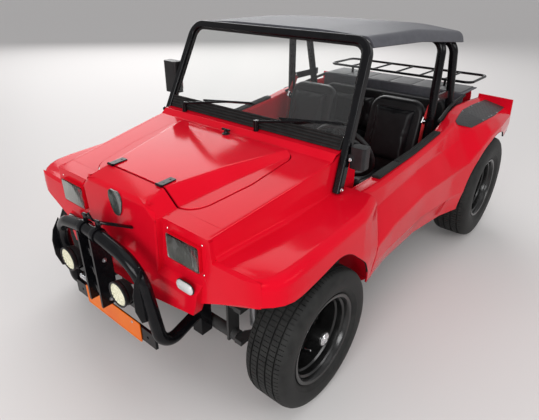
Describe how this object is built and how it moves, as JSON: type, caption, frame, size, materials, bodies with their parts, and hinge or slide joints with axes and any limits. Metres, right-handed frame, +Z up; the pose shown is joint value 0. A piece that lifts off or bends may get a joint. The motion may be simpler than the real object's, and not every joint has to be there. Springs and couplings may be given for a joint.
{
  "type": "dune buggy",
  "caption": "Open fibreglass dune buggy with a hard roof on a roll cage, bull bar, luggage rack, opening bonnet and engine lid, working steering and free-rolling wheels.",
  "frame": {"origin": "on the ground, below the centre of the vehicle's bounding box", "axes": "+X to the driver's left, +Y to the back, +Z up; the vehicle faces -Y"},
  "size_m": [1.678, 3.058, 1.4239],
  "materials": {
    "body_red": "gloss",
    "grey_shell": "matt",
    "black_paint": "gloss",
    "chassis_black": "satin",
    "steel": "satin",
    "alloy": "cast",
    "exhaust_steel": "dull",
    "tyre": "matt",
    "wheel_black": "satin",
    "vinyl": "grained",
    "rubber": "matt",
    "black_plastic": "textured",
    "tread_plate": "black chequered",
    "glass": "clear",
    "lamp_glass": "fluted",
    "signal": "clear lens",
    "tail_red": "lens",
    "plate_orange": "blank"
  },
  "bodies": {
    "chassis": {"bull_bar": "black_paint", "dashboard": "body_red", "engine": "alloy", "exhaust": "exhaust_steel", "fender_plates": "tread_plate", "floor_pan": "chassis_black", "front_arms": "chassis_black", "front_beam": "chassis_black", "front_compartment": "body_red", "front_deck": "body_red", "front_seats": "vinyl", "front_shocks": "steel", "front_wing_left": "body_red", "front_wing_right": "body_red", "gearbox": "alloy", "headlamps": "lamp_glass", "luggage_rack": "black_paint", "mirrors": "black_plastic", "nose_panel": "body_red", "number_plate": "plate_orange", "rear_bench": "vinyl", "rear_bumper": "black_paint", "rear_suspension": "chassis_black", "rear_tub": "grey_shell", "roll_cage": "black_paint", "roof_top": "grey_shell", "side_left": "body_red", "side_right": "body_red", "sill_pads": "rubber", "spot_lamps": "black_plastic", "steering_column": "black_plastic", "tail_lamps": "tail_red", "turn_signals": "signal", "windshield_frame": "black_paint", "windshield_glass": "glass", "windshield_seal": "rubber", "wipers": "black_plastic"},
    "hood": {"hood_lid": "body_red", "hood_hinges": "black_paint"},
    "engine_cover": {"engine_lid": "body_red"},
    "steering": {"steering_wheel": "black_plastic"},
    "steer_left": {"knuckle_left": "steel"},
    "steer_right": {"knuckle_right": "steel"},
    "track": {"track_rod": "chassis_black"},
    "wheel_front_left": {"tyre_front_left": "tyre", "rim_front_left": "wheel_black"},
    "wheel_front_right": {"tyre_front_right": "tyre", "rim_front_right": "wheel_black"},
    "wheel_rear_left": {"tyre_rear_left": "tyre", "rim_rear_left": "wheel_black"},
    "wheel_rear_right": {"tyre_rear_right": "tyre", "rim_rear_right": "wheel_black"}
  },
  "joints": [
    {"name": "steering_turn", "type": "hinge", "parent": "chassis", "child": "steering", "pos_m": [0.33, -0.176, 0.79], "axis": [0, 0.8829, 0.4695], "range_deg": [-420, 420]},
    {"name": "steer_left_turn", "type": "hinge", "parent": "chassis", "child": "steer_left", "pos_m": [0.575, -0.991, 0.309], "axis": [0, 0, 1], "range_deg": [-28.5, 28.5]},
    {"name": "steer_right_turn", "type": "hinge", "parent": "chassis", "child": "steer_right", "pos_m": [-0.575, -0.991, 0.309], "axis": [0, 0, 1], "range_deg": [-28.5, 28.5]},
    {"name": "track_slide", "type": "slide", "parent": "chassis", "child": "track", "axis": [1, 0, 0], "range_m": [-0.06, 0.06]},
    {"name": "hood_open", "type": "hinge", "parent": "chassis", "child": "hood", "pos_m": [0, -1.27, 0.9083], "axis": [1, 0, 0], "range_deg": [0, 65]},
    {"name": "engine_cover_open", "type": "hinge", "parent": "chassis", "child": "engine_cover", "pos_m": [0, 1.2223, 0.938], "axis": [1, 0, 0], "range_deg": [0, 50]},
    {"name": "wheel_front_left_spin", "type": "hinge", "parent": "steer_left", "child": "wheel_front_left", "pos_m": [0.714, -0.991, 0.309], "axis": [1, 0, 0], "continuous": true},
    {"name": "wheel_front_right_spin", "type": "hinge", "parent": "steer_right", "child": "wheel_front_right", "pos_m": [-0.714, -0.991, 0.309], "axis": [1, 0, 0], "continuous": true},
    {"name": "wheel_rear_left_spin", "type": "hinge", "parent": "chassis", "child": "wheel_rear_left", "pos_m": [0.72, 0.899, 0.349], "axis": [1, 0, 0], "continuous": true},
    {"name": "wheel_rear_right_spin", "type": "hinge", "parent": "chassis", "child": "wheel_rear_right", "pos_m": [-0.72, 0.899, 0.349], "axis": [1, 0, 0], "continuous": true}
  ],
  "couplings": [
    {"joint": "steer_left_turn", "follows": "steering_turn", "ratio": 0.066667},
    {"joint": "steer_right_turn", "follows": "steering_turn", "ratio": 0.066667},
    {"joint": "track_slide", "follows": "steering_turn", "m_per_rad": -0.008}
  ]
}
